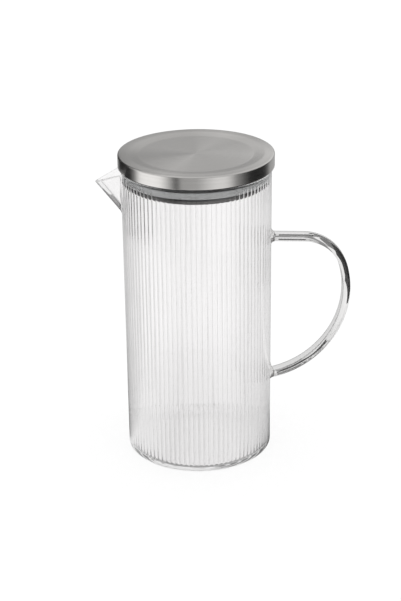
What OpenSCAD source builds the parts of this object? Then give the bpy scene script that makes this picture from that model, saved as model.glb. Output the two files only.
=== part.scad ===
// Ribbed glass pitcher with a pulled spout, a strap handle and a brushed steel lid.
// Millimetres. The body axis is Z, the table is z = 0, the spout points to -X and the handle to +X.

/* [Glass body] */
// Outside diameter of the glass cylinder
glass_d = 104; // [80:1:130]
// Height of the glass rim above the table
rim_z = 211.3; // [160:0.1:260]
// Wall thickness between the tips of the inner ribs and the outside
glass_wall = 2.6; // [1.8:0.1:4]
// Thickness of the glass floor
floor_t = 2.2; // [2:0.1:8]
// Radius around the outside of the foot
foot_r = 1.2; // [1:0.1:4]
// Radius between the floor and the wall, inside
floor_fillet_r = 1.5; // [1:0.1:8]
// How far the middle of the underside is pushed up
punt_h = 0.5; // [0.2:0.05:1.5]
// Width of the flat ring that the pitcher stands on
foot_ring_w = 8; // [3:0.5:20]

/* [Flutes inside the wall] */
// Number of upright flutes around the wall
flute_count = 90; // [40:1:120]
// Depth of each flute
flute_depth = 0.4; // [0.2:0.05:0.8]
// Width left flat on each rib between two flutes
rib_land = 0.5; // [0.2:0.05:1]
// Smooth band left between the flutes and the rounding of the floor
flute_foot_band = 0.5; // [0.5:0.1:6]
// Smooth band left between the flutes and the rim
flute_rim_band = 2.4; // [1:0.1:10]

/* [Spout] */
// Reach of the spout beyond the outside of the cylinder
spout_reach = 18.3; // [10:0.1:25]
// Height of the spout from its root to the rim
spout_h = 31.3; // [20:0.1:50]
// How far the tip of the spout lies below the rim
spout_drop = 7.3; // [3:0.1:10]
// Width of the spout where it leaves the cylinder at the rim
spout_mouth_w = 21; // [14:0.5:30]
// Wall thickness of the spout
spout_wall = 1.7; // [1.2:0.1:2.4]

/* [Handle] */
// Width of the strap
strap_w = 10.5; // [8:0.1:16]
// Thickness of the strap
strap_t = 5.4; // [4:0.1:7]
// Radius along the strap's four long edges
strap_edge_r = 1.9; // [0.8:0.1:1.9]
// Height at which the top of the strap meets the cylinder
strap_top_z = 157.3; // [120:0.1:190]
// Length of the straight run at the top
strap_run = 24.5; // [15:0.1:35]
// Fall of the straight run, in degrees
strap_fall = 3.5; // [0:0.1:10]
// Radius of the tight upper bend
upper_bend_r = 31.3; // [20:0.1:40]
// Angle turned by the upper bend, in degrees
upper_bend_angle = 70.3; // [50:0.1:85]
// Radius of the wide lower bend
lower_bend_r = 65.5; // [50:0.1:80]

/* [Handle welds] */
// Depth of each weld between the cylinder and the strap
weld_t = 3; // [2:0.1:5]
// How far a weld spreads to each side of the strap
weld_spread = 1.4; // [0.5:0.1:3]
// How far the upper weld climbs above the strap
upper_weld_rise = 4.6; // [2:0.1:8]
// How far the lower weld climbs above the strap
lower_weld_rise = 8.5; // [4:0.1:12]
// How far each weld runs down below the strap
weld_foot = 1.4; // [0.8:0.1:3]

/* [Lid cover] */
// How far the steel cover stands out beyond the glass
cap_overhang = 2; // [1:0.1:8]
// Height of the steel cover
cap_h = 9.5; // [7:0.1:14]
// Thickness of the steel sheet
sheet_t = 0.7; // [0.5:0.05:1.2]
// Radius of the edge between the top and the skirt
cap_edge_r = 1; // [0.8:0.1:1.6]
// Width of the flat border around the top
border_w = 6.9; // [4:0.1:10]
// Width of the slope between the border and the dished middle
slope_w = 7.2; // [3:0.1:12]
// Depth of the dished middle
dish_depth = 0.9; // [0.3:0.05:1.5]
// Height of the cover's lower edge above the glass rim
cap_lift = 0.6; // [0.4:0.1:2]

/* [Insert, plug and seal] */
// Space between the plug and the glass, which the silicone ring fills
plug_gap = 3.2; // [2.4:0.1:6]
// How far the plug reaches down below the glass rim
plug_reach = 10.8; // [9:0.1:20]
// Wall thickness of the plug
plug_wall = 3.4; // [2.6:0.1:5]
// Thickness of the flange that rests on the rim
flange_t = 1.6; // [1:0.1:3]
// Thickness of the top plates of the insert and the plug
plate_t = 1.8; // [1.2:0.1:3]
// Thickness of the closing disc under the plug
base_t = 1.6; // [1:0.1:2.4]
// Height of the spigot that centres the closing disc
spigot_h = 2; // [1:0.1:4]
// Width of the spigot
spigot_w = 1.6; // [1:0.1:3]
// Height of the silicone ring
seal_h = 4.4; // [3.4:0.1:6]
// Height of the ring's lower side above the bottom of the plug
seal_lift = 3; // [2.6:0.1:5]
// Depth of the groove that holds the ring
groove_depth = 1.3; // [0.8:0.1:1.6]
// Height of each of the ring's two lips
lip_h = 1.5; // [1:0.1:2]
// Width left free around the adhesive disc, inside the slope of the cover
bond_margin = 2.9; // [1:0.1:15]
// Thickness of the adhesive disc between the insert and the cover
bond_t = 0.5; // [0.3:0.1:1]

/* [Clearances] */
// Gap between the flange and the rim under it
seat_gap = 0.2; // [0.1:0.05:0.5]
// Gap between the silicone ring and the glass
seal_gap = 0.3; // [0.25:0.05:0.6]
// Running gap between the silicone ring and its groove
groove_gap = 0.05; // [0.03:0.01:0.1]
// Gap between the flange and the skirt of the cover
flange_gap = 0.2; // [0.1:0.05:0.5]
// Gap around the spigot of the closing disc
spigot_gap = 0.1; // [0.05:0.05:0.3]

/* [Hidden] */
// Sides of every true round
$fn = 128;
// Steps around each rounded edge of the strap
ring_steps = 3;
// Steps along the strap's upper bend; the lower bend takes twice as many
bend_steps = 15;
// Steps from the strap to the wall across a weld, and how sharply the weld flares
weld_steps = 6;
weld_curve = 2.5;
// Overrun of every cut past the face it opens
over = 1;

// Cylinder
glass_r = glass_d / 2;
bore_r = glass_r - glass_wall;
rim_r = glass_wall / 2;
// A flute is an arc between the edges of two ribs, flute_depth deep in the middle
flute_half = PI * bore_r / flute_count - rib_land / 2;
flute_r = (pow(flute_half, 2) + pow(flute_depth, 2)) / (2 * flute_depth);
flute_centre_r = bore_r + flute_depth - flute_r;
flute_low_z = floor_t + floor_fillet_r + flute_foot_band;
flute_high_z = rim_z - rim_r - flute_rim_band;
// A shallow ball pushes up the middle of the underside
punt_r = glass_r - foot_r - foot_ring_w;
punt_ball_r = (pow(punt_r, 2) + pow(punt_h, 2)) / (2 * punt_h);

// Spout: two flat flanks meet in a straight keel from the root to the tip
root_z = rim_z - spout_h;
tip_x = -(glass_r + spout_reach);
tip_z = rim_z - spout_drop;
keel_rise = tip_z - root_z;
keel_len = norm([spout_reach, keel_rise]);
keel_lean = atan2(spout_reach, keel_rise);
mouth_half = spout_mouth_w / 2;
mouth_x = -sqrt(pow(glass_r, 2) - pow(mouth_half, 2));
// Distance from the keel, square to it, of the corner where a flank leaves the cylinder at the rim
mouth_depth = (mouth_x + glass_r) * cos(keel_lean) + spout_h * sin(keel_lean);
flank_half_angle = atan2(mouth_half, mouth_depth);
keel_shift = spout_wall / sin(flank_half_angle);
spout_fall = atan2(spout_drop, mouth_x - tip_x);

// Handle in the X-Z plane: a straight run and two bends, with headings given as the fall below +X
run_x = sqrt(pow(glass_r, 2) - pow(strap_w / 2, 2));
upper_x = run_x + strap_run * cos(strap_fall);
upper_z = strap_top_z - strap_run * sin(strap_fall);
upper_centre = [
    upper_x - upper_bend_r * sin(strap_fall),
    upper_z - upper_bend_r * cos(strap_fall)
];
bend_heading = strap_fall + upper_bend_angle;
lower_centre = upper_centre - (lower_bend_r - upper_bend_r) * [sin(bend_heading), cos(bend_heading)];
weld_x = glass_r + weld_t;
// The lower bend runs on until it is past the outside of the glass
lower_sweep = 90 + acos((bore_r - lower_centre[0]) / lower_bend_r) - bend_heading;
return_slope = asin((weld_x - lower_centre[0]) / lower_bend_r);
upper_weld_z = strap_top_z - (weld_x - run_x) * tan(strap_fall);
lower_weld_z = lower_centre[1] - lower_bend_r * cos(return_slope);

// Lid
cap_r = glass_r + cap_overhang;
cap_low_z = rim_z + cap_lift;
cap_top_z = cap_low_z + cap_h;
slope_out_r = cap_r - border_w;
dish_r = slope_out_r - slope_w;
dish_z = cap_top_z - dish_depth;
cap_bore_r = cap_r - sheet_t;
cap_bore_edge_r = cap_edge_r - sheet_t / 2;
plug_r = bore_r - plug_gap;
plug_low_z = rim_z - plug_reach;
plug_inner_r = plug_r - plug_wall;
flange_r = cap_bore_r - flange_gap;
flange_low_z = rim_z + seat_gap;
plate_top_z = dish_z - sheet_t - bond_t;
core_low_z = plug_low_z + base_t;
seal_low_z = plug_low_z + seal_lift;
seal_high_z = seal_low_z + seal_h;
groove_r = plug_r - groove_depth;
seal_inner_r = groove_r + groove_gap;
seal_outer_r = bore_r - seal_gap;
seal_web_r = (plug_r + seal_outer_r) / 2;

// Points around a rounded rectangle, as distances off the strap's middle line and along Y
function strap_ring(low, high, width) = [
    for (corner = [0 : 3], step = [0 : ring_steps])
        let (
            turn = (corner + step / ring_steps) * 90,
            off_side = corner == 0 || corner == 3 ? high - strap_edge_r : low + strap_edge_r,
            y_side = (corner < 2 ? 1 : -1) * (width / 2 - strap_edge_r)
        )
        [off_side + strap_edge_r * cos(turn), y_side + strap_edge_r * sin(turn)]
];

// A ring set square to the strap's heading, at a place in the X-Z plane; fall is below +X
function placed_ring(ring, place, fall) = [
    for (p = ring) [place[0] + p[0] * sin(fall), p[1], place[1] + p[0] * cos(fall)]
];

// Closed skin over a list of rings that all have as many points
module skin(rings) {
    count = len(rings[0]);
    last = len(rings) - 1;
    polyhedron(
        points = [for (ring = rings) each ring],
        faces = [
            [for (i = [0 : count - 1]) i],
            for (k = [0 : last - 1], i = [0 : count - 1])
                let (j = (i + 1) % count)
                [k * count + i, (k + 1) * count + i, (k + 1) * count + j, k * count + j],
            [for (i = [count - 1 : -1 : 0]) last * count + i]
        ]
    );
}

// A gather of glass that flares from the strap's end to the wall of the cylinder
module weld(centre_z, slope, rise) {
    half_h = strap_t / 2 / cos(slope);
    depth = weld_x - bore_r;
    difference() {
        skin([
            for (step = [weld_steps : -1 : 0])
                let (flare = pow(step / weld_steps, weld_curve))
                placed_ring(
                    strap_ring(
                        -half_h - flare * weld_foot,
                        half_h + flare * rise,
                        strap_w + 2 * flare * weld_spread
                    ),
                    [weld_x - depth * step / weld_steps, centre_z],
                    0
                )
        ]);
        cylinder(r = glass_r, h = rim_z);
    }
}

// Wedge along the keel of the spout, shifted inwards from the outer keel
module spout_wedge(shift, low, high, depth) {
    translate([-glass_r, 0, root_z])
        rotate([0, -keel_lean, 0])
            translate([shift, 0, low])
                linear_extrude(height = high - low)
                    polygon([
                        [0, 0],
                        [depth, depth * tan(flank_half_angle)],
                        [depth, -depth * tan(flank_half_angle)]
                    ]);
}

// Everything above the sloping rim of the spout
module above_spout() {
    translate([mouth_x, 0, rim_z])
        rotate([0, -spout_fall, 0])
            translate([-2 * spout_reach, -glass_r, 0])
                cube([2 * spout_reach + glass_wall, glass_d, spout_h]);
}

module glass_body() {
    color([0.85, 0.88, 0.88, 0.35])
    difference() {
        union() {
            rotate_extrude() {
                square([glass_r - foot_r, rim_z / 2]);
                translate([0, foot_r])
                    square([glass_r, rim_z - foot_r - rim_r]);
                translate([glass_r - foot_r, foot_r])
                    circle(r = foot_r);
                translate([glass_r - rim_r, rim_z - rim_r])
                    circle(r = rim_r);
            }
            difference() {
                spout_wedge(0, 0, keel_len + over, mouth_depth);
                above_spout();
            }
        }
        // The hollow, rounded where the floor meets the wall
        rotate_extrude() {
            translate([0, floor_t])
                square([bore_r - floor_fillet_r, rim_z]);
            translate([0, floor_t + floor_fillet_r])
                square([bore_r, rim_z]);
            translate([bore_r - floor_fillet_r, floor_t + floor_fillet_r])
                circle(r = floor_fillet_r);
        }
        for (i = [0 : flute_count - 1])
            rotate([0, 0, (i + 0.5) * 360 / flute_count])
                translate([flute_centre_r, 0, flute_low_z])
                    cylinder(r = flute_r, h = flute_high_z - flute_low_z);
        spout_wedge(keel_shift, -spout_wall, keel_len + spout_h, mouth_depth);
        translate([0, 0, punt_h - punt_ball_r])
            sphere(r = punt_ball_r);
    }
}

module handle() {
    section = strap_ring(-strap_t / 2, strap_t / 2, strap_w);
    start = [bore_r, strap_top_z + (run_x - bore_r) * tan(strap_fall)];
    color([0.82, 0.85, 0.85, 0.5])
    difference() {
        skin([
            placed_ring(section, start, strap_fall),
            for (step = [0 : bend_steps])
                let (fall = strap_fall + upper_bend_angle * step / bend_steps)
                placed_ring(section, upper_centre + upper_bend_r * [sin(fall), cos(fall)], fall),
            for (step = [1 : 2 * bend_steps])
                let (fall = bend_heading + lower_sweep * step / (2 * bend_steps))
                placed_ring(section, lower_centre + lower_bend_r * [sin(fall), cos(fall)], fall)
        ]);
        translate([-glass_r, -glass_r, 0])
            cube([glass_r + weld_x, glass_d, rim_z]);
    }
}

module handle_upper_weld() {
    color([0.8, 0.84, 0.84, 0.5])
    weld(upper_weld_z, strap_fall, upper_weld_rise);
}

module handle_lower_weld() {
    color([0.8, 0.84, 0.84, 0.5])
    weld(lower_weld_z, return_slope, lower_weld_rise);
}

// Half section of a cover of the given radius, top and edge radius
module cover_half(outer_r, low_z, lower_by, edge_r) {
    top_z = cap_top_z - lower_by;
    difference() {
        union() {
            translate([0, low_z])
                square([outer_r - edge_r, top_z - low_z]);
            translate([0, low_z])
                square([outer_r, top_z - edge_r - low_z]);
            translate([outer_r - edge_r, top_z - edge_r])
                circle(r = edge_r);
        }
        polygon([
            [0, top_z - dish_depth],
            [dish_r, top_z - dish_depth],
            [slope_out_r, top_z],
            [slope_out_r, top_z + over],
            [0, top_z + over]
        ]);
    }
}

module lid_cap() {
    color([0.72, 0.71, 0.68])
    rotate_extrude()
        difference() {
            cover_half(cap_r, cap_low_z, 0, cap_edge_r);
            cover_half(cap_bore_r, cap_low_z - over, sheet_t, cap_bore_edge_r);
        }
}

module bond_disc() {
    color([0.9, 0.9, 0.85])
    translate([0, 0, plate_top_z])
        cylinder(r = dish_r - bond_margin, h = bond_t);
}

// Cup with a flange that rests on the rim; the cover is bonded over it and the plug hangs below it
module lid_insert() {
    color([0.2, 0.21, 0.22])
    rotate_extrude()
        difference() {
            union() {
                translate([0, flange_low_z])
                    square([plug_r, plate_top_z - flange_low_z]);
                translate([0, flange_low_z])
                    square([flange_r, flange_t]);
            }
            translate([0, flange_low_z - over])
                square([plug_inner_r, plate_top_z - plate_t - flange_low_z + over]);
        }
}

module plug_core() {
    color([0.16, 0.17, 0.18])
    rotate_extrude()
        difference() {
            translate([0, core_low_z])
                square([plug_r, flange_low_z - core_low_z]);
            translate([0, core_low_z - over])
                square([plug_inner_r, flange_low_z - plate_t - core_low_z + over]);
            translate([groove_r, seal_low_z - groove_gap])
                square([plug_r, seal_h + 2 * groove_gap]);
        }
}

module plug_base() {
    color([0.4, 0.4, 0.4])
    difference() {
        union() {
            translate([0, 0, plug_low_z])
                cylinder(r = plug_r, h = base_t);
            translate([0, 0, plug_low_z])
                cylinder(r = plug_inner_r - spigot_gap, h = base_t + spigot_h);
        }
        translate([0, 0, core_low_z])
            cylinder(r = plug_inner_r - spigot_gap - spigot_w, h = spigot_h + over);
    }
}

// Silicone ring with a lip along its upper and its lower side
module seal_ring() {
    color([0.62, 0.65, 0.67])
    rotate_extrude()
        difference() {
            translate([seal_inner_r, seal_low_z])
                square([seal_outer_r - seal_inner_r, seal_h]);
            translate([seal_web_r, seal_low_z + lip_h])
                square([seal_outer_r, seal_h - 2 * lip_h]);
        }
}

glass_body();
handle();
handle_upper_weld();
handle_lower_weld();
lid_cap();
bond_disc();
lid_insert();
plug_core();
plug_base();
seal_ring();
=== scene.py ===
import math

import bmesh
import bpy
from mathutils import Matrix, Vector


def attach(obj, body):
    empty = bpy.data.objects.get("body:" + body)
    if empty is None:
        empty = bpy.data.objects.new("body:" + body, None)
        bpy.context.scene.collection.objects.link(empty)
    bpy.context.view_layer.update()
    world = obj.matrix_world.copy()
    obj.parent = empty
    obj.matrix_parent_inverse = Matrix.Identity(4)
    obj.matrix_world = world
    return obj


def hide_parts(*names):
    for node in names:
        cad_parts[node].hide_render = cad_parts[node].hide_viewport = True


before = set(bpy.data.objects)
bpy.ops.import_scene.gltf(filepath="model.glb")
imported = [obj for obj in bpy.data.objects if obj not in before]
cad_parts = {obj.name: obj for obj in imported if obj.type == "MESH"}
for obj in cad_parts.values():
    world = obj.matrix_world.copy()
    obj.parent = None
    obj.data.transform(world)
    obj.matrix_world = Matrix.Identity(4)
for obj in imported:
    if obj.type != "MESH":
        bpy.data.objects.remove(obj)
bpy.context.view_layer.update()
bpy.ops.object.select_all(action="DESELECT")

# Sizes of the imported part, but as the photo shows them the seal is 0.7 mm higher,
# the plug's base 0.8 mm lower, its collar over the seal 2.5 mm wider and the cover's skirt 0.4 mm shorter.
# Sections are drawn in millimetres and made in metres.
MM = 0.001
GLASS_R = 52.0
WALL = 2.6
BORE_R = GLASS_R - WALL
RIM_Z = 211.3
RIM_R = WALL / 2
FLOOR_T = 2.2
FOOT_R = 1.2
FILLET_R = 1.5
PUNT_R = 42.8
PUNT_H = 0.5
FLUTES = 90
FLUTE_DEPTH = 0.4
RIB_LAND = 0.5
COLUMNS_A_FLUTE = 8
COLUMNS = FLUTES * COLUMNS_A_FLUTE

SPOUT_REACH = 18.3
SPOUT_H = 31.3
SPOUT_DROP = 7.3
SPOUT_HALF_MOUTH = 10.5
SPOUT_WALL = 1.7
ROOT_Z = RIM_Z - SPOUT_H

STRAP_W = 10.4
STRAP_T = 5.4
STRAP_EDGE_R = 2.4
STRAP_FALL = math.radians(3.5)
UPPER_BEND_R = 31.3
UPPER_BEND = math.radians(70.3)
LOWER_BEND_R = 65.5
WELD_X = 55.0
WELD_SPREAD = 1.4
WELD_FOOT = 1.4
UPPER_WELD_RISE = 4.6
LOWER_WELD_RISE = 8.5

CAP_R = 54.0
CAP_LOW_Z = 212.3
CAP_TOP_Z = 221.4
SHEET_T = 0.7
SLOPE_OUT_R = 47.1
DISH_R = 39.9
DISH_Z = 220.5
PLUG_R = 46.2
PLUG_INNER_R = 42.8
GROOVE_R = 44.9
COLLAR_R = 48.7
PLUG_LOW_Z = 199.7
CORE_LOW_Z = 202.1
FLANGE_R = 53.1
FLANGE_LOW_Z = 211.5
FLANGE_TOP_Z = 213.1
PLATE_TOP_Z = 219.3
PLATE_T = 1.8
SEAL_LOW_Z = 204.2
SEAL_HIGH_Z = 208.6
SEAL_INNER_R = 44.95
SEAL_OUTER_R = 49.1
SEAL_WEB_R = 48.6
GROOVE_GAP = 0.05
SPIGOT_INNER_R = 41.1
SPIGOT_OUTER_R = 42.7
SPIGOT_H = 2
CAP_INNER_EDGE_R = 0.65

SEAM = 0.003 * MM
LID_COLUMNS = 192
HEADING = math.radians(5.3)
PHOTO_H = 601
SENSOR = 36.0
LIGHT_BOUNCES = 96


# ---------- drawing and turning


def open_piece(name):
    """A new piece at the origin, open for editing."""
    bpy.ops.object.select_all(action="DESELECT")
    piece = bpy.data.objects.new(name, bpy.data.meshes.new(name))
    bpy.context.collection.objects.link(piece)
    bpy.context.view_layer.objects.active = piece
    piece.select_set(True)
    bpy.ops.object.mode_set(mode="EDIT")
    bpy.ops.mesh.select_mode(type="VERT")
    return piece


def close_piece(piece, crease_deg):
    """Joins the seams, turns every face outwards and smooths all but the creases."""
    bpy.ops.mesh.select_all(action="SELECT")
    bpy.ops.mesh.remove_doubles(threshold=SEAM)
    bpy.ops.mesh.normals_make_consistent(inside=False)
    bpy.ops.object.mode_set(mode="OBJECT")
    bpy.ops.object.shade_smooth_by_angle(angle=math.radians(crease_deg))
    return piece


def draw_section(points):
    """Draws a chain of (radius, height) points in the X-Z plane, one extrusion after another."""
    at = Vector((points[0][0], 0, points[0][1])) * MM
    bpy.ops.mesh.primitive_plane_add(size=MM, location=at)
    bpy.ops.mesh.merge(type="CENTER")
    for r, z in points[1:]:
        there = Vector((r, 0, z)) * MM
        bpy.ops.mesh.extrude_vertices_move(TRANSFORM_OT_translate={"value": there - at})
        at = there


def arc(centre, radius, from_deg, to_deg, steps):
    """Points of an arc in a section; 0 degrees is outwards and 90 is up."""
    turns = [math.radians(from_deg + (to_deg - from_deg) * i / steps) for i in range(steps + 1)]
    return [(centre[0] + radius * math.cos(t), centre[1] + radius * math.sin(t)) for t in turns]


def soften(points, radius, closed=False, steps=3):
    """The same section with its corners rounded."""
    out = []
    last = len(points) - 1
    for i, p in enumerate(points):
        if not closed and i in (0, last):
            out.append(p)
            continue
        here, before, after = Vector(p), Vector(points[i - 1]), Vector(points[(i + 1) % (last + 1)])
        a = here + (before - here).normalized() * min(radius, (before - here).length / 2.2)
        b = here + (after - here).normalized() * min(radius, (after - here).length / 2.2)
        for k in range(steps + 1):
            t = k / steps
            out.append(tuple(a * (1 - t) ** 2 + here * 2 * t * (1 - t) + b * t ** 2))
    if closed:
        out.append(out[0])
    return out


def held(points):
    """The same section with a point close to each end of its long flats, so they stay flat when smoothed."""
    out = [points[0]]
    for a, b in zip(points, points[1:]):
        length = math.dist(a, b)
        if length > 1.2:
            for t in (0.15 / length, 1 - 0.15 / length):
                out.append((a[0] + (b[0] - a[0]) * t, a[1] + (b[1] - a[1]) * t))
        out.append(b)
    return out


def turned(name, section, columns, crease_deg=30):
    """A piece turned from its section about the upright axis."""
    piece = open_piece(name)
    draw_section(held(section))
    bpy.ops.mesh.select_all(action="SELECT")
    bpy.ops.mesh.spin(steps=columns, angle=2 * math.pi, center=(0, 0, 0), axis=(0, 0, 1))
    return close_piece(piece, crease_deg)


def select_where(test):
    """Selects the vertices of the open piece for which test(place in millimetres) is true."""
    bm = bmesh.from_edit_mesh(bpy.context.object.data)
    for v in bm.verts:
        v.select = test(v.co / MM)
    bm.select_flush_mode()
    bmesh.update_edit_mesh(bpy.context.object.data)


# ---------- glass body

FLUTE_LOW_Z = 3.8
FLUTE_FADE = 1.2
FLUTE_HIGH_Z = 208.6
SPOUT_STEP = 1.3
SPOUT_ROWS = [ROOT_Z - 2 + SPOUT_STEP * i for i in range(22)]
WALL_ROWS = [30, 50, 70, 90, 110, 130, 150, 168]


def glass_section():
    """From the middle of the floor up the inside, over the rim and down the outside."""
    inside = [(0, FLOOR_T), (15, FLOOR_T), (30, FLOOR_T)]
    inside += arc((BORE_R - FILLET_R, FLOOR_T + FILLET_R), FILLET_R, -90, 0, 6)
    inside += [(BORE_R, z) for z in [4.0, 4.4, 5.0, 12] + WALL_ROWS + SPOUT_ROWS + [206.4, 207.5, 208.6]]
    rim = arc((GLASS_R - RIM_R, RIM_Z - RIM_R), RIM_R, 180, 0, 8)
    outside = [(GLASS_R, z) for z in [208.6, 207.5, 206.4] + SPOUT_ROWS[::-1] + WALL_ROWS[::-1]]
    foot = arc((GLASS_R - FOOT_R, FOOT_R), FOOT_R, 0, -90, 6)
    ball_r = (PUNT_R ** 2 + PUNT_H ** 2) / (2 * PUNT_H)
    under = [(r, PUNT_H - ball_r + math.sqrt(ball_r ** 2 - r ** 2)) for r in (PUNT_R, 34, 24, 12, 0)]
    return inside + rim + outside + foot + under


def flute_share(z):
    """How much of its depth a flute has at a height: it runs out softly at both ends."""
    low = min(max((z - FLUTE_LOW_Z) / FLUTE_FADE, 0), 1)
    high = min(max((FLUTE_HIGH_Z - z) / (2 * FLUTE_FADE), 0), 1)
    return math.sin(low * math.pi / 2) * math.sin(high * math.pi / 2)


def flute_depth(column):
    """Depth of the flute at one of its columns; column 0 is the middle of a rib."""
    half = math.pi * BORE_R / FLUTES
    half_flute = half - RIB_LAND / 2
    radius = (half_flute ** 2 + FLUTE_DEPTH ** 2) / (2 * FLUTE_DEPTH)
    off = abs(half - 2 * half * column / COLUMNS_A_FLUTE)
    if off > half_flute:
        return 0.0
    return math.sqrt(radius ** 2 - off ** 2) - (radius - FLUTE_DEPTH)


def column_of(place):
    turn = math.degrees(math.atan2(place.y, place.x)) % 360
    return round(turn * COLUMNS / 360) % COLUMNS_A_FLUTE


def press_flutes():
    """Scales the columns of the inner wall outwards, each by the depth of its flute there."""
    bm = bmesh.from_edit_mesh(bpy.context.object.data)
    heights = sorted({round(v.co.z / MM, 3) for v in bm.verts if FLUTE_LOW_Z < v.co.z / MM < FLUTE_HIGH_Z})
    ends = [z for z in heights if flute_share(z) < 1]
    groups = [(z - 0.01, z + 0.01, flute_share(z)) for z in ends]
    groups.append((max(z for z in ends if z < 100) + 0.01, min(z for z in ends if z > 100) - 0.01, 1.0))
    for column in range(1, COLUMNS_A_FLUTE // 2 + 1):
        pair = (column, COLUMNS_A_FLUTE - column)
        for low, high, share in groups:
            select_where(
                lambda p: low < p.z < high and math.hypot(p.x, p.y) < BORE_R + 0.1 and column_of(p) in pair
            )
            k = (BORE_R + share * flute_depth(column)) / BORE_R
            bpy.ops.transform.resize(value=(k, k, 1), center_override=(0, 0, 0))


def pull_spout():
    """Pulls the wall out towards -X into two flanks that meet in a keel, under a sloping rim."""
    lean = math.atan2(SPOUT_REACH, SPOUT_H - SPOUT_DROP)
    mouth_x = -math.sqrt(GLASS_R ** 2 - SPOUT_HALF_MOUTH ** 2)
    mouth_depth = (mouth_x + GLASS_R) * math.cos(lean) + SPOUT_H * math.sin(lean)
    spread = SPOUT_HALF_MOUTH / mouth_depth
    inset = SPOUT_WALL / math.sin(math.atan(spread))
    fall = SPOUT_DROP / (mouth_x + GLASS_R + SPOUT_REACH)
    mouth_turn = math.asin(SPOUT_HALF_MOUTH / GLASS_R)
    keel_round = 0.012
    junction_round = 0.7

    def sideways(turn):
        """The sine of the turn, rounded off across the keel."""
        s = abs(math.sin(turn))
        edge = math.sin(mouth_turn)
        return math.hypot(s, keel_round) - keel_round * max(0, 1 - s / edge)

    def flank(turn, z, shift):
        return (
            spread * (GLASS_R * math.cos(lean) + (z - ROOT_Z) * math.sin(lean) - shift)
            / (sideways(turn) + spread * math.cos(turn) * math.cos(lean))
        )

    def rim_height(turn):
        if abs(turn) >= mouth_turn:
            return RIM_Z
        reach = (
            spread * (GLASS_R * math.cos(lean) + (SPOUT_H - mouth_x * fall) * math.sin(lean))
            / (sideways(turn) + spread * math.cos(turn) * (math.cos(lean) + fall * math.sin(lean)))
        )
        return RIM_Z - max(0.0, mouth_x + reach * math.cos(turn)) * fall

    def larger(a, b):
        return (a + b + math.hypot(a - b, junction_round)) / 2

    bm = bmesh.from_edit_mesh(bpy.context.object.data)
    for v in bm.verts:
        p = v.co / MM
        radius = math.hypot(p.x, p.y)
        turn = math.atan2(p.y, -p.x)
        if p.z < ROOT_Z - 4 or radius < BORE_R - 1 or abs(turn) > 2.2 * mouth_turn:
            continue
        share = min(max((GLASS_R - radius) / WALL, 0), 1)
        flute = max(0, radius - BORE_R) if p.z < FLUTE_HIGH_Z and share > 0.5 else 0.0
        if flute:
            share = 1.0
        z = p.z
        if z > ROOT_Z:
            z = ROOT_Z + (z - ROOT_Z) * (rim_height(turn) - ROOT_Z) / (RIM_Z - ROOT_Z)
        fade = min(1, max(0, 2.2 - abs(turn) / mouth_turn))
        outer_flank = flank(turn, z, 0)
        inner_flank = flank(turn, z, inset)
        outer = GLASS_R + (larger(GLASS_R, outer_flank) - GLASS_R) * fade
        inner = BORE_R + (larger(BORE_R, inner_flank) - BORE_R) * fade
        inner += flute * math.exp(-max(0, inner_flank - BORE_R) / 5.0)
        radius = outer + (inner - outer) * share
        v.co = Vector((-radius * math.cos(turn), radius * math.sin(turn), z)) * MM
    bmesh.update_edit_mesh(bpy.context.object.data)


def make_glass_body():
    piece = open_piece("pitcher_glass")
    draw_section(glass_section())
    bpy.ops.mesh.select_all(action="SELECT")
    bpy.ops.mesh.spin(steps=COLUMNS, angle=2 * math.pi, center=(0, 0, 0), axis=(0, 0, 1))
    bpy.ops.mesh.select_all(action="SELECT")
    bpy.ops.mesh.remove_doubles(threshold=SEAM)
    press_flutes()
    pull_spout()
    close_piece(piece, 60)
    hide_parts("glass_body")
    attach(piece, "jug")
    return piece


# ---------- handle

RUN_X = math.sqrt(GLASS_R ** 2 - (STRAP_W / 2) ** 2)
RUN_Z = 157.3
UPPER_CENTRE = Vector((74.28, 0, 124.56))
LOWER_CENTRE = Vector((41.44, 0, 115.02))
WALL_GAP = 0.02


def strap_section(at, fall):
    """The face of the strap, square to its heading, before its corners are rounded."""
    bpy.ops.mesh.primitive_plane_add(size=1, location=at * MM, rotation=(0, math.pi / 2 + fall, 0))
    bm = bmesh.from_edit_mesh(bpy.context.object.data)
    up = Vector((math.sin(fall), 0, math.cos(fall)))
    for v in bm.verts:
        height = math.copysign(STRAP_T / 2, (v.co - at * MM).dot(up))
        width = math.copysign(STRAP_W / 2, v.co.y)
        v.co = (at + up * height + Vector((0, width, 0))) * MM
    bmesh.update_edit_mesh(bpy.context.object.data)


# ---------- materials


def new_material(name):
    material = bpy.data.materials.new(name)
    material.use_nodes = True
    nodes, links = material.node_tree.nodes, material.node_tree.links
    return material, nodes, links, nodes["Principled BSDF"]


def put(nodes, kind, **values):
    """A node with its settings, and with its input sockets set by name."""
    node = nodes.new(kind)
    for key, value in values.items():
        if key in node.inputs:
            node.inputs[key].default_value = value
        else:
            setattr(node, key, value)
    return node


def fill_ramp(ramp, stops):
    """Sets the stops of a ramp, each a place and a grey level."""
    elements = ramp.color_ramp.elements
    elements[0].position, elements[1].position = 0.0, 1.0
    elements[0].color = (*[stops[0][1]] * 3, 1)
    elements[1].color = (*[stops[-1][1]] * 3, 1)
    for place, level in stops[1:-1]:
        elements.new(place).color = (level, level, level, 1)


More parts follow.
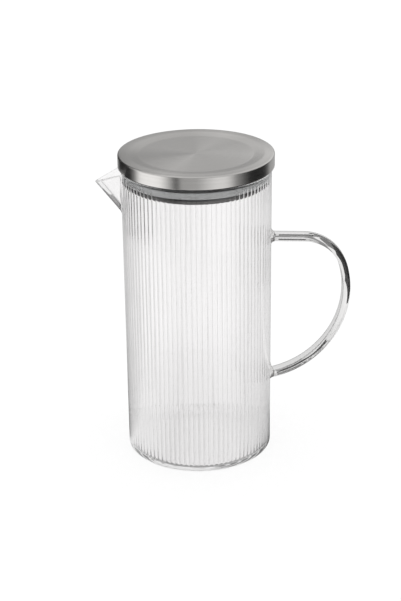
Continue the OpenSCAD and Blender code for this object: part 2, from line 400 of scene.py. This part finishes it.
def glass(name, tint, wave, painted_rib_shade=None):
    """Clear glass: wave gives the faint waves of drawn glass; painted_rib_shade paints a dark line on the
    bore in each rib, a painted shade standing in for the ribs' refraction.
    """
    material, nodes, links, shader = new_material(name)
    shader.inputs["Base Color"].default_value = (*tint, 1)
    shader.inputs["Roughness"].default_value = 0.0
    shader.inputs["IOR"].default_value = 1.49
    shader.inputs["Transmission Weight"].default_value = 1.0
    place = put(nodes, "ShaderNodeTexCoord")
    if wave:
        stretch = put(nodes, "ShaderNodeMapping", Scale=(1, 1, 0.35))
        waves = put(nodes, "ShaderNodeTexNoise", Scale=95.0, Detail=1.0)
        bump = put(nodes, "ShaderNodeBump", Strength=wave, Distance=0.0006)
        links.new(place.outputs["Object"], stretch.inputs["Vector"])
        links.new(stretch.outputs["Vector"], waves.inputs["Vector"])
        links.new(waves.outputs["Fac"], bump.inputs["Height"])
        links.new(bump.outputs["Normal"], shader.inputs["Normal"])
    # Painted shade: a grey line on the bore at the middle of each rib.
    if painted_rib_shade:
        split = put(nodes, "ShaderNodeSeparateXYZ")
        turn = put(nodes, "ShaderNodeMath", operation="ARCTAN2")
        count = put(nodes, "ShaderNodeMath", operation="MULTIPLY")
        count.inputs[1].default_value = FLUTES / (2 * math.pi)
        ridge = put(nodes, "ShaderNodeMath", operation="PINGPONG")
        ridge.inputs[1].default_value = 0.5
        flat = put(nodes, "ShaderNodeVectorMath", operation="MULTIPLY")
        flat.inputs[1].default_value = (1, 1, 0)
        radius = put(nodes, "ShaderNodeVectorMath", operation="LENGTH")
        outer = put(nodes, "ShaderNodeMapRange")
        outer.inputs["From Min"].default_value = (BORE_R + 0.5) * MM
        outer.inputs["From Max"].default_value = (BORE_R + 0.8) * MM
        away = put(nodes, "ShaderNodeMath", operation="MAXIMUM")
        colour = put(nodes, "ShaderNodeValToRGB")
        colour.color_ramp.elements[0].position = 0.03
        colour.color_ramp.elements[0].color = (*painted_rib_shade, 1)
        colour.color_ramp.elements[1].position = 0.10
        colour.color_ramp.elements[1].color = (*tint, 1)
        links.new(place.outputs["Object"], split.inputs["Vector"])
        links.new(split.outputs["Y"], turn.inputs[0])
        links.new(split.outputs["X"], turn.inputs[1])
        links.new(turn.outputs["Value"], count.inputs[0])
        links.new(count.outputs["Value"], ridge.inputs[0])
        links.new(place.outputs["Object"], flat.inputs[0])
        links.new(flat.outputs["Vector"], radius.inputs[0])
        links.new(radius.outputs["Value"], outer.inputs["Value"])
        links.new(ridge.outputs["Value"], away.inputs[0])
        links.new(outer.outputs["Result"], away.inputs[1])
        links.new(away.outputs["Value"], colour.inputs["Fac"])
        links.new(colour.outputs["Color"], shader.inputs["Base Color"])
    return material


def spun_steel(name, tint, rough, anisotropy, painted_sectors=None):
    """Steel with the fine rings that spinning leaves round the axis, and the fan of light they throw; given
    sectors, it also paints lighter and darker sectors round the axis into its colour, a painted sheen.
    """
    material, nodes, links, shader = new_material(name)
    shader.inputs["Metallic"].default_value = 1.0
    shader.inputs["Anisotropic"].default_value = anisotropy
    shader.inputs["Anisotropic Rotation"].default_value = 0.25
    place = put(nodes, "ShaderNodeTexCoord")
    split = put(nodes, "ShaderNodeSeparateXYZ")
    flat = put(nodes, "ShaderNodeVectorMath", operation="MULTIPLY")
    flat.inputs[1].default_value = (1, 1, 0)
    radius = put(nodes, "ShaderNodeVectorMath", operation="LENGTH")
    ring = put(nodes, "ShaderNodeCombineXYZ")
    grain = put(nodes, "ShaderNodeTexNoise", Scale=1800.0, Detail=3.0)
    links.new(place.outputs["Object"], split.inputs["Vector"])
    links.new(place.outputs["Object"], flat.inputs[0])
    links.new(flat.outputs["Vector"], radius.inputs[0])
    links.new(radius.outputs["Value"], ring.inputs["X"])
    links.new(split.outputs["Z"], ring.inputs["Z"])
    links.new(ring.outputs["Vector"], grain.inputs["Vector"])
    colour = put(nodes, "ShaderNodeValToRGB")
    colour.color_ramp.elements[0].position = 0.3
    colour.color_ramp.elements[0].color = (*[0.84 * c for c in tint], 1)
    colour.color_ramp.elements[1].position = 0.7
    colour.color_ramp.elements[1].color = (*[1.04 * c for c in tint], 1)
    links.new(grain.outputs["Fac"], colour.inputs["Fac"])
    surface = colour.outputs["Color"]
    # Painted sheen: lighter and darker sectors round the axis multiply the steel's colour.
    if painted_sectors:
        behind = put(nodes, "ShaderNodeMath", operation="MULTIPLY")
        behind.inputs[1].default_value = -1.0
        turn = put(nodes, "ShaderNodeMath", operation="ARCTAN2")
        share = put(nodes, "ShaderNodeMapRange")
        share.inputs["From Min"].default_value = -math.pi
        share.inputs["From Max"].default_value = math.pi
        fan = put(nodes, "ShaderNodeValToRGB")
        both = put(nodes, "ShaderNodeMix", data_type="RGBA", blend_type="MULTIPLY", Factor=1.0)
        links.new(split.outputs["Y"], behind.inputs[0])
        links.new(split.outputs["X"], turn.inputs[0])
        links.new(behind.outputs["Value"], turn.inputs[1])
        links.new(turn.outputs["Value"], share.inputs["Value"])
        links.new(share.outputs["Result"], fan.inputs["Fac"])
        fill_ramp(fan, [((deg + 180) / 360, level) for deg, level in painted_sectors])
        links.new(surface, both.inputs["A"])
        links.new(fan.outputs["Color"], both.inputs["B"])
        surface = both.outputs["Result"]
    links.new(surface, shader.inputs["Base Color"])
    rub = put(nodes, "ShaderNodeMapRange")
    rub.inputs["To Min"].default_value = rough - 0.03
    rub.inputs["To Max"].default_value = rough + 0.03
    links.new(grain.outputs["Fac"], rub.inputs["Value"])
    links.new(rub.outputs["Result"], shader.inputs["Roughness"])
    bump = put(nodes, "ShaderNodeBump", Strength=0.12, Distance=0.00002)
    links.new(grain.outputs["Fac"], bump.inputs["Height"])
    links.new(bump.outputs["Normal"], shader.inputs["Normal"])
    around = put(nodes, "ShaderNodeTangent", direction_type="RADIAL", axis="Z")
    links.new(around.outputs["Tangent"], shader.inputs["Tangent"])
    return material


def moulded(name, tint, rough, grain_scale, see_through=0.0, shine=0.5):
    """Moulded plastic or rubber with a fine grain."""
    material, nodes, links, shader = new_material(name)
    shader.inputs["Transmission Weight"].default_value = see_through
    shader.inputs["IOR"].default_value = 1.42
    shader.inputs["Specular IOR Level"].default_value = shine
    place = put(nodes, "ShaderNodeTexCoord")
    grain = put(nodes, "ShaderNodeTexNoise", Scale=grain_scale, Detail=3.0)
    links.new(place.outputs["Object"], grain.inputs["Vector"])
    colour = put(nodes, "ShaderNodeValToRGB")
    colour.color_ramp.elements[0].position = 0.35
    colour.color_ramp.elements[0].color = (*[0.9 * c for c in tint], 1)
    colour.color_ramp.elements[1].position = 0.65
    colour.color_ramp.elements[1].color = (*tint, 1)
    links.new(grain.outputs["Fac"], colour.inputs["Fac"])
    links.new(colour.outputs["Color"], shader.inputs["Base Color"])
    rub = put(nodes, "ShaderNodeMapRange")
    rub.inputs["To Min"].default_value = rough - 0.05
    rub.inputs["To Max"].default_value = rough + 0.05
    links.new(grain.outputs["Fac"], rub.inputs["Value"])
    links.new(rub.outputs["Result"], shader.inputs["Roughness"])
    bump = put(nodes, "ShaderNodeBump", Strength=0.15, Distance=0.00003)
    links.new(grain.outputs["Fac"], bump.inputs["Height"])
    links.new(bump.outputs["Normal"], shader.inputs["Normal"])
    return material


def dress(piece, material):
    piece.data.materials.clear()
    piece.data.materials.append(material)


# The body's glass is greyed in a thin line in each rib: painted shade.
BODY_GLASS = glass("clear_pressed_glass", (0.99, 0.985, 0.985), 0.0, (0.62, 0.61, 0.61))
HANDLE_GLASS = glass("clear_drawn_glass", (0.86, 0.855, 0.85), 0.06)
# Lighter and darker sectors round the lid's axis, painted into its steel's colour as painted highlights and
# painted shade.
PAINTED_SHEEN_SECTORS = [
    (-180, 0.84), (-120, 0.86), (-92, 0.78), (-80, 0.82), (-60, 0.98), (-30, 1.05), (-12, 0.92),
    (20, 0.9), (60, 0.92), (84, 1.06), (100, 1.06), (125, 0.97), (150, 1.0), (170, 0.9), (180, 0.84),
]
LID_STEEL = spun_steel("spun_steel", (0.77, 0.755, 0.735), 0.24, 0.9, PAINTED_SHEEN_SECTORS)
# The closing disc's steel is darkened to about a fifth of the cover's: satin steel with painted shade under
# the lid.
SHADED_BASE_STEEL = spun_steel("shaded_satin_steel", (0.16, 0.155, 0.15), 0.35, 0.4)
DARK_PLASTIC = moulded("dark_moulded_plastic", (0.005, 0.0053, 0.0056), 0.42, 2500.0, shine=0.2)
SILICONE = moulded("milky_silicone", (0.84, 0.86, 0.86), 0.4, 1800.0, 0.12)
ADHESIVE = moulded("pale_adhesive", (0.75, 0.75, 0.7), 0.6, 900.0)


# ---------- making the pieces


def make_handle():
    piece = open_piece("strap_handle")
    start = Vector((WELD_X, 0, RUN_Z - (WELD_X - RUN_X) * math.tan(STRAP_FALL)))
    strap_section(start, STRAP_FALL)
    bpy.ops.mesh.select_all(action="SELECT")
    bpy.ops.mesh.bevel(
        offset=STRAP_EDGE_R * MM, offset_type="OFFSET", segments=6, profile=0.5, affect="VERTICES"
    )
    bpy.ops.mesh.select_all(action="SELECT")
    top = UPPER_CENTRE + UPPER_BEND_R * Vector((math.sin(STRAP_FALL), 0, math.cos(STRAP_FALL)))
    step = (top - start) / 5
    for _ in range(5):
        bpy.ops.mesh.extrude_region_move(TRANSFORM_OT_translate={"value": step * MM})
    bpy.ops.mesh.spin(steps=30, angle=UPPER_BEND, center=UPPER_CENTRE * MM, axis=(0, -1, 0))
    sweep = math.pi - math.asin((WELD_X - LOWER_CENTRE.x) / LOWER_BEND_R) - STRAP_FALL - UPPER_BEND
    bpy.ops.mesh.spin(steps=48, angle=sweep, center=LOWER_CENTRE * MM, axis=(0, -1, 0))
    weld_end(LOWER_WELD_RISE)
    heading = Vector((math.cos(STRAP_FALL), 0, -math.sin(STRAP_FALL)))
    select_where(lambda p: abs((p - start).dot(heading)) < 0.05 and p.z > 140)
    weld_end(UPPER_WELD_RISE)
    close_piece(piece, 40)
    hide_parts("handle", "handle_upper_weld", "handle_lower_weld")
    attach(piece, "jug")
    dress(piece, HANDLE_GLASS)
    return piece


def weld_end(rise):
    """Draws the selected end of the strap on to the wall in rings, each spread further than the last."""
    steps = 6
    whence = {}
    for step in range(1, steps + 1):
        bpy.ops.mesh.extrude_region_move(TRANSFORM_OT_translate={"value": (0, 0, 0)})
        bm = bmesh.from_edit_mesh(bpy.context.object.data)
        ring = [v for v in bm.verts if v.select]
        if step == 1:
            whence = {tuple(round(c, 7) for c in v.co): v.co / MM for v in ring}
            low_z = min(p.z for p in whence.values())
            high_z = max(p.z for p in whence.values())
        share = (step / steps) ** 2.0
        moved = {}
        for v in ring:
            start = whence[tuple(round(c, 7) for c in v.co)]
            up = (start.z - low_z) / (high_z - low_z)
            y = start.y * (1 + 2 * share * WELD_SPREAD / STRAP_W)
            wall = math.sqrt((GLASS_R + WALL_GAP) ** 2 - y ** 2)
            x = start.x + (wall - start.x) * step / steps
            v.co = Vector((x, y, start.z + share * (rise * up - WELD_FOOT * (1 - up)))) * MM
            moved[tuple(round(c, 7) for c in v.co)] = start
        whence = moved
        bmesh.update_edit_mesh(bpy.context.object.data)


def make_lid():
    cap = [(0, DISH_Z), (20, DISH_Z)]
    dish_edge = [(30, DISH_Z), (DISH_R, DISH_Z), (SLOPE_OUT_R, CAP_TOP_Z), (51, CAP_TOP_Z)]
    cap += soften(dish_edge, 0.7, steps=4)
    cap += arc((CAP_R - 1, CAP_TOP_Z - 1), 1, 90, 0, 8)
    cap += arc((CAP_R - SHEET_T / 2, CAP_LOW_Z + SHEET_T / 2), SHEET_T / 2, 0, -180, 8)
    inner_edge = (CAP_R - SHEET_T - CAP_INNER_EDGE_R, CAP_TOP_Z - SHEET_T - CAP_INNER_EDGE_R)
    cap += arc(inner_edge, CAP_INNER_EDGE_R, 0, 90, 6)
    cap += [(SLOPE_OUT_R, CAP_TOP_Z - SHEET_T), (DISH_R, DISH_Z - SHEET_T), (0, DISH_Z - SHEET_T)]
    cover = turned("steel_cover", cap, 256, 50)
    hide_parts("lid_cap")
    dress(cover, LID_STEEL)

    cup = soften([
        (PLUG_INNER_R, FLANGE_LOW_Z), (FLANGE_R, FLANGE_LOW_Z), (FLANGE_R, FLANGE_TOP_Z),
        (PLUG_R, FLANGE_TOP_Z), (PLUG_R, PLATE_TOP_Z), (0, PLATE_TOP_Z),
    ], 0.4)
    plate = [(0, PLATE_TOP_Z - PLATE_T), (PLUG_INNER_R, PLATE_TOP_Z - PLATE_T)]
    insert = turned("flanged_insert", plate + cup, LID_COLUMNS)
    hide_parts("lid_insert")
    dress(insert, DARK_PLASTIC)

    tub = soften([
        (PLUG_INNER_R, CORE_LOW_Z), (PLUG_R, CORE_LOW_Z),
        (PLUG_R, SEAL_LOW_Z - GROOVE_GAP), (GROOVE_R, SEAL_LOW_Z - GROOVE_GAP),
        (GROOVE_R, SEAL_HIGH_Z + GROOVE_GAP), (COLLAR_R, SEAL_HIGH_Z + GROOVE_GAP),
        (COLLAR_R, FLANGE_LOW_Z), (0, FLANGE_LOW_Z),
    ], 0.25)
    plate = [(0, FLANGE_LOW_Z - PLATE_T), (PLUG_INNER_R, FLANGE_LOW_Z - PLATE_T)]
    plug = turned("sealing_plug", plate + tub, LID_COLUMNS)
    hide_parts("plug_core")
    dress(plug, DARK_PLASTIC)

    disc = soften([
        (0, CORE_LOW_Z), (SPIGOT_INNER_R, CORE_LOW_Z), (SPIGOT_INNER_R, CORE_LOW_Z + SPIGOT_H),
        (SPIGOT_OUTER_R, CORE_LOW_Z + SPIGOT_H), (SPIGOT_OUTER_R, CORE_LOW_Z),
        (PLUG_R, CORE_LOW_Z), (PLUG_R, PLUG_LOW_Z), (0, PLUG_LOW_Z),
    ], 0.3)
    base = turned("closing_disc", disc, LID_COLUMNS)
    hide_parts("plug_base")
    dress(base, SHADED_BASE_STEEL)

    ring = soften([
        (SEAL_INNER_R, SEAL_LOW_Z), (SEAL_OUTER_R, SEAL_LOW_Z), (SEAL_OUTER_R, SEAL_LOW_Z + 1.2),
        (SEAL_WEB_R, SEAL_LOW_Z + 1.7), (SEAL_WEB_R, SEAL_HIGH_Z - 1.7),
        (SEAL_OUTER_R, SEAL_HIGH_Z - 1.2), (SEAL_OUTER_R, SEAL_HIGH_Z), (SEAL_INNER_R, SEAL_HIGH_Z),
    ], 0.45, closed=True)
    seal = turned("lipped_seal", ring, LID_COLUMNS, 40)
    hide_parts("seal_ring")
    dress(seal, SILICONE)
    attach(seal, "seal")

    dress(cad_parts["bond_disc"], ADHESIVE)
    for piece in (cover, insert, plug, base):
        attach(piece, "lid")


dress(make_glass_body(), BODY_GLASS)
make_handle()
make_lid()


# ---------- studio

WHITE = (1, 1, 1, 1)


def see_only(thing, *rays):
    for ray in ("camera", "diffuse", "glossy", "transmission", "volume_scatter", "shadow"):
        setattr(thing, "visible_" + ray, ray in rays)


def filled(nodes, links, level, fill):
    """The level, or fill for a ray that has left a matt surface."""
    rays = put(nodes, "ShaderNodeLightPath")
    matt = put(nodes, "ShaderNodeMath", operation="MINIMUM")
    matt.inputs[1].default_value = 1.0
    mix = put(nodes, "ShaderNodeMix", data_type="RGBA")
    mix.inputs["B"].default_value = (fill, fill, fill, 1)
    links.new(rays.outputs["Diffuse Depth"], matt.inputs[0])
    links.new(matt.outputs["Value"], mix.inputs["Factor"])
    links.new(level, mix.inputs["A"])
    return mix.outputs["Result"]


def emission_by_turn(name, stops, middle=None, fill=None):
    """Light that changes with the direction round the axis.

    Stops are (degrees right of straight behind, level). With middle, the light near the axis has that level:
    a painted soft shadow round the object.
    With fill, matt surfaces are lit by that level.
    """
    material = bpy.data.materials.new(name)
    material.use_nodes = True
    nodes, links = material.node_tree.nodes, material.node_tree.links
    nodes.clear()
    place = put(nodes, "ShaderNodeTexCoord")
    split = put(nodes, "ShaderNodeSeparateXYZ")
    turn = put(nodes, "ShaderNodeMath", operation="ARCTAN2")
    share = put(nodes, "ShaderNodeMapRange")
    share.inputs["From Min"].default_value = -math.pi
    share.inputs["From Max"].default_value = math.pi
    ramp = put(nodes, "ShaderNodeValToRGB")
    light = put(nodes, "ShaderNodeEmission", Strength=1.0)
    out = put(nodes, "ShaderNodeOutputMaterial")
    links.new(place.outputs["Object"], split.inputs["Vector"])
    links.new(split.outputs["X"], turn.inputs[0])
    links.new(split.outputs["Y"], turn.inputs[1])
    links.new(turn.outputs["Value"], share.inputs["Value"])
    links.new(share.outputs["Result"], ramp.inputs["Fac"])
    level = ramp.outputs["Color"]
    if middle is not None:
        radius = put(nodes, "ShaderNodeVectorMath", operation="LENGTH")
        near = put(nodes, "ShaderNodeMapRange", interpolation_type="SMOOTHSTEP")
        near.inputs["From Min"].default_value = 0.05
        near.inputs["From Max"].default_value = 0.24
        blend = put(nodes, "ShaderNodeMix", data_type="RGBA")
        blend.inputs["A"].default_value = (middle, middle, middle, 1)
        links.new(place.outputs["Object"], radius.inputs[0])
        links.new(radius.outputs["Value"], near.inputs["Value"])
        links.new(near.outputs["Result"], blend.inputs["Factor"])
        links.new(level, blend.inputs["B"])
        level = blend.outputs["Result"]
    if fill is not None:
        level = filled(nodes, links, level, fill)
    links.new(level, light.inputs["Color"])
    links.new(light.outputs["Emission"], out.inputs["Surface"])
    fill_ramp(ramp, [((deg + 180) / 360, level) for deg, level in stops])
    material.cycles.emission_sampling = "NONE"
    return material


def make_floor():
    bpy.ops.object.select_all(action="DESELECT")
    bpy.ops.mesh.primitive_circle_add(
        vertices=96, radius=2.5, fill_type="NGON", location=(0, 0, -0.0001)
    )
    floor = bpy.context.object
    floor.name = "white_floor"
    material, nodes, links, shader = new_material("white_paper")
    shader.inputs["Base Color"].default_value = (0.2, 0.2, 0.2, 1)
    shader.inputs["Roughness"].default_value = 0.9
    shader.inputs["Specular IOR Level"].default_value = 0.0
    rays = put(nodes, "ShaderNodeLightPath")
    seen = put(nodes, "ShaderNodeMath", operation="ADD")
    also = put(nodes, "ShaderNodeMath", operation="ADD", use_clamp=True)
    level = put(nodes, "ShaderNodeMath", operation="MULTIPLY")
    level.inputs[1].default_value = 0.83
    links.new(rays.outputs["Is Camera Ray"], seen.inputs[0])
    links.new(rays.outputs["Is Glossy Ray"], seen.inputs[1])
    links.new(seen.outputs["Value"], also.inputs[0])
    links.new(rays.outputs["Is Transmission Ray"], also.inputs[1])
    links.new(also.outputs["Value"], level.inputs[0])
    shader.inputs["Emission Color"].default_value = WHITE
    links.new(level.outputs["Value"], shader.inputs["Emission Strength"])
    material.cycles.emission_sampling = "NONE"
    dress(floor, material)


def shade_band(material, output, low, high, factor, inner=0.0):
    """Dims the light of a panel where a measure of its place lies above low and below high."""
    nodes, links = material.node_tree.nodes, material.node_tree.links
    light = next(n for n in nodes if n.type == "EMISSION")
    place = next(n for n in nodes if n.type == "TEX_COORD")
    if output == "Z":
        measure = put(nodes, "ShaderNodeSeparateXYZ")
        links.new(place.outputs["Object"], measure.inputs["Vector"])
        measured = measure.outputs["Z"]
    else:
        flat = put(nodes, "ShaderNodeVectorMath", operation="LENGTH")
        links.new(place.outputs["Object"], flat.inputs[0])
        measured = flat.outputs["Value"]
    rise = put(nodes, "ShaderNodeMapRange", interpolation_type="SMOOTHSTEP")
    rise.inputs["From Min"].default_value = low[0]
    rise.inputs["From Max"].default_value = low[1]
    links.new(measured, rise.inputs["Value"])
    fall = put(nodes, "ShaderNodeMapRange", interpolation_type="SMOOTHSTEP")
    fall.inputs["From Min"].default_value = high[0]
    fall.inputs["From Max"].default_value = high[1]
    fall.inputs["To Min"].default_value = 1.0
    fall.inputs["To Max"].default_value = 0.0
    links.new(measured, fall.inputs["Value"])
    both = put(nodes, "ShaderNodeMath", operation="MULTIPLY")
    links.new(rise.outputs["Result"], both.inputs[0])
    links.new(fall.outputs["Result"], both.inputs[1])
    if inner:
        split = put(nodes, "ShaderNodeSeparateXYZ")
        front = put(nodes, "ShaderNodeMath", operation="LESS_THAN")
        front.inputs[1].default_value = -inner
        last = put(nodes, "ShaderNodeMath", operation="MULTIPLY")
        links.new(place.outputs["Object"], split.inputs["Vector"])
        links.new(split.outputs["Y"], front.inputs[0])
        links.new(both.outputs["Value"], last.inputs[0])
        links.new(front.outputs["Value"], last.inputs[1])
        both = last
    strength = put(nodes, "ShaderNodeMapRange")
    strength.inputs["To Min"].default_value = 1.0
    strength.inputs["To Max"].default_value = factor
    links.new(both.outputs["Value"], strength.inputs["Value"])
    links.new(strength.outputs["Result"], light.inputs["Strength"])


def make_ring(name, pivot, radius, low, high, stops, ray, fill=None):
    """A ring of panels, which only one kind of ray sees."""
    bpy.ops.object.select_all(action="DESELECT")
    bpy.ops.mesh.primitive_cylinder_add(
        vertices=120, radius=radius, depth=high - low, end_fill_type="NOTHING",
        location=(0, 0, (low + high) / 2),
    )
    ring = bpy.context.object
    ring.name = name
    bpy.ops.object.transform_apply(location=True)
    dress(ring, emission_by_turn(name + "_light", stops, None, fill))
    see_only(ring, ray)
    ring.parent = pivot
    return ring


def make_panels(name, pivot, radius, height, stops, mat_stops, middle, ray, fill=None):
    """A ring of panels and the mat inside it, which only one kind of ray sees."""
    ring = make_ring(name + "_ring", pivot, radius, 0, height, stops, ray, fill)
    bpy.ops.mesh.primitive_circle_add(
        vertices=120, radius=radius, fill_type="NGON", location=(0, 0, -0.00005)
    )
    mat = bpy.context.object
    mat.name = name + "_mat"
    bpy.ops.object.transform_apply(location=True)
    dress(mat, emission_by_turn(name + "_mat_light", mat_stops, middle, fill))
    if ray == "transmission":
        shade_band(ring.data.materials[0], "Z", (0.105, 0.125), (0.5, 0.6), 0.3)
        # A darker arc under the near side of the foot, as the photo shows it through the glass.
        # This darker arc is a painted contact shadow under the foot.
        shade_band(mat.data.materials[0], "R", (0.0450, 0.0456), (0.0500, 0.0506), 0.3, 0.012)
    see_only(mat, ray)
    mat.parent = pivot


def make_card(name, pivot, level, size, location, rotation, ray):
    """A flat panel of one brightness, which only one kind of ray sees."""
    bpy.ops.object.select_all(action="DESELECT")
    turns = [math.radians(a) for a in rotation]
    bpy.ops.mesh.primitive_plane_add(size=1, location=location, rotation=turns)
    card = bpy.context.object
    card.name = name
    card.scale = (*size, 1)
    bpy.ops.object.transform_apply(location=True, rotation=True, scale=True)
    dress(card, emission_by_turn(name + "_light", [(-180, level), (180, level)]))
    see_only(card, ray)
    card.parent = pivot


def make_studio():
    """Panels on a pivot that turns with the camera, and three small cards near the strap that stay put."""
    pivot = bpy.data.objects.new("studio_pivot", None)
    bpy.context.scene.collection.objects.link(pivot)
    make_panels("reflected", pivot, 0.34, 0.26, REFLECTED_STOPS, REFLECTED_STOPS, None, "glossy")
    # The refracted mat is dimmed to 0.88 near the axis: a painted soft shadow of the object on the floor.
    make_panels(
        "refracted", pivot, 0.46, 0.2, REFRACTED_STOPS, REFRACTED_MAT_STOPS, 0.88, "transmission", 1.0
    )
    make_ring(
        "refracted_upper_ring", pivot, 0.46, 0.2, 0.45, REFRACTED_UPPER_STOPS, "transmission", 1.0
    )
    upright, flat = (90, 0, 0), (0, 0, 0)
    for name, level, size, place, turns, ray in (
        ("left_card", 0.05, (0.5, 0.36), (-0.335, 0.25, 0.46), upright, "glossy"),
        ("right_card", 0.8, (0.4, 0.24), (0.26, 0.28, 0.42), upright, "glossy"),
        ("top_card", 1.3, (0.4, 0.4), (-0.27, 0.58, 0.95), (45, 0, 25), "glossy"),
        ("front_card", 0.03, (0.3, 0.26), (0.235, -0.32, 0.002), flat, "transmission"),
        ("strap_line_card", 0.06, (0.053, 0.017), (0.1065, -0.1225, 0.002), flat, "transmission"),
        ("strap_edge_card", 0.15, (0.025, 0.022), (0.0925, -0.1015, 0.002), flat, "transmission"),
    ):
        make_card(name, pivot, level, size, place, turns, ray)
    for name, level, size, place, tip in (
        ("strap_flag", 0.03, (0.028, 0.0265), (0.096, 0.05, 0.1178), 0),
        ("strap_tail_flag", 0.03, (0.0267, 0.016), (0.0961, 0.0501, 0.1034), -39.6),
        ("strap_shade", 0.2, (0.016, 0.012), (0.096, 0.0502, 0.137), 0),
    ):
        make_card(name, None, level, size, place, (90, tip, 0), "transmission")
        bpy.context.object.rotation_euler.z = -HEADING
    return pivot


REFLECTED_STOPS = [
    (-180, 0.48), (-160, 0.44), (-155, 0.13), (-151, 0.12), (-138, 0.7), (-129, 1.0), (-120, 1.08),
    (-97, 1.1), (-86, 0.24), (-76, 0.01), (-40, 0.005), (-32, 0.3), (-26, 0.45), (0, 0.35), (28, 0.45),
    (53, 0.42), (62, 0.08), (72, 0.0), (102, 0.0), (112, 0.12), (124, 0.32), (134, 0.78), (141, 0.95),
    (154, 0.93), (166, 0.72), (178, 0.49), (180, 0.48),
]
REFRACTED_STOPS = [
    (-180, 0.8), (-150, 0.6), (-135, 0.1), (-42, 0.05), (-30, 0.95), (-10, 1.0), (20, 1.0), (60, 0.75),
    (110, 0.7), (150, 0.9), (180, 0.8),
]
REFRACTED_UPPER_STOPS = [
    (-180, 0.35), (-30, 0.15), (-9, 0.15), (-4, 0.85), (23, 0.9), (31, 0.2), (60, 0.2), (180, 0.35),
]
REFRACTED_MAT_STOPS = [
    (-180, 0.8), (-110, 0.7), (-70, 0.55), (-25, 0.88), (-12, 1.0), (12, 1.0), (35, 0.92), (70, 0.75),
    (110, 0.75), (150, 0.9), (180, 0.8),
]


def make_world():
    """White for the camera; reflections and refractions see a studio that changes with height."""
    world = bpy.data.worlds.new("white_studio")
    bpy.context.scene.world = world
    world.use_nodes = True
    nodes, links = world.node_tree.nodes, world.node_tree.links
    back = nodes["Background"]
    back.inputs["Strength"].default_value = 1.0
    place = put(nodes, "ShaderNodeTexCoord")
    split = put(nodes, "ShaderNodeSeparateXYZ")
    links.new(place.outputs["Generated"], split.inputs["Vector"])
    rays = put(nodes, "ShaderNodeLightPath")
    level = None
    for ray, stops in (("Is Glossy Ray", REFLECTED_SKY), ("Is Transmission Ray", REFRACTED_SKY)):
        ramp = put(nodes, "ShaderNodeValToRGB")
        links.new(split.outputs["Z"], ramp.inputs["Fac"])
        fill_ramp(ramp, stops)
        mix = put(nodes, "ShaderNodeMix", data_type="RGBA")
        mix.inputs["A"].default_value = WHITE
        if level:
            links.new(level, mix.inputs["A"])
        links.new(rays.outputs[ray], mix.inputs["Factor"])
        links.new(ramp.outputs["Color"], mix.inputs["B"])
        level = mix.outputs["Result"]
    links.new(filled(nodes, links, level, 1.0), back.inputs["Color"])


REFLECTED_SKY = [(0.0, 0.12), (0.12, 0.2), (0.25, 0.42), (0.4, 0.6), (0.55, 0.68), (0.75, 0.68), (1.0, 0.7)]
REFRACTED_SKY = [(0.0, 1.0), (0.05, 0.8), (0.1, 0.3), (1.0, 0.3)]


def make_camera():
    """The photograph's camera, fitted in units of the cover's radius and turned to the spout's heading."""
    unit = CAP_R * MM
    focal, tilt, roll, distance = 1493.5, 0.4104, -0.0121, 19.759
    aim = (0.0341, 2.0437)
    right = Vector((math.cos(HEADING), -math.sin(HEADING), 0))
    away = Vector((math.sin(HEADING), math.cos(HEADING), 0))
    up = Vector((0, 0, 1))
    forward = math.cos(tilt) * away - math.sin(tilt) * up
    rise = math.sin(tilt) * away + math.cos(tilt) * up
    camera = bpy.data.objects.new("camera", bpy.data.cameras.new("camera"))
    bpy.context.scene.collection.objects.link(camera)
    side = math.cos(roll) * right + math.sin(roll) * rise
    top = -math.sin(roll) * right + math.cos(roll) * rise
    place = unit * (aim[0] * right + aim[1] * up - distance * forward)
    stand = Matrix((side, top, -forward)).transposed().to_4x4()
    camera.matrix_world = Matrix.Translation(place) @ stand
    camera.data.sensor_width = SENSOR
    camera.data.lens = focal / PHOTO_H * SENSOR
    camera.data.clip_start = 0.05
    camera.data.clip_end = 20.0
    bpy.context.scene.camera = camera
    return camera


make_floor()
make_world()
camera = make_camera()
pivot = make_studio()
follow = pivot.constraints.new("LOCKED_TRACK")
follow.target = camera
follow.track_axis = "TRACK_NEGATIVE_Y"
follow.lock_axis = "LOCK_Z"

scene = bpy.context.scene
scene.view_settings.view_transform = "Standard"
scene.cycles.max_bounces = LIGHT_BOUNCES
scene.cycles.transmission_bounces = LIGHT_BOUNCES
scene.cycles.glossy_bounces = LIGHT_BOUNCES
scene.cycles.transparent_max_bounces = 16
scene.cycles.use_denoising = True
scene.cycles.denoising_input_passes = "RGB"

bpy.context.view_layer.update()
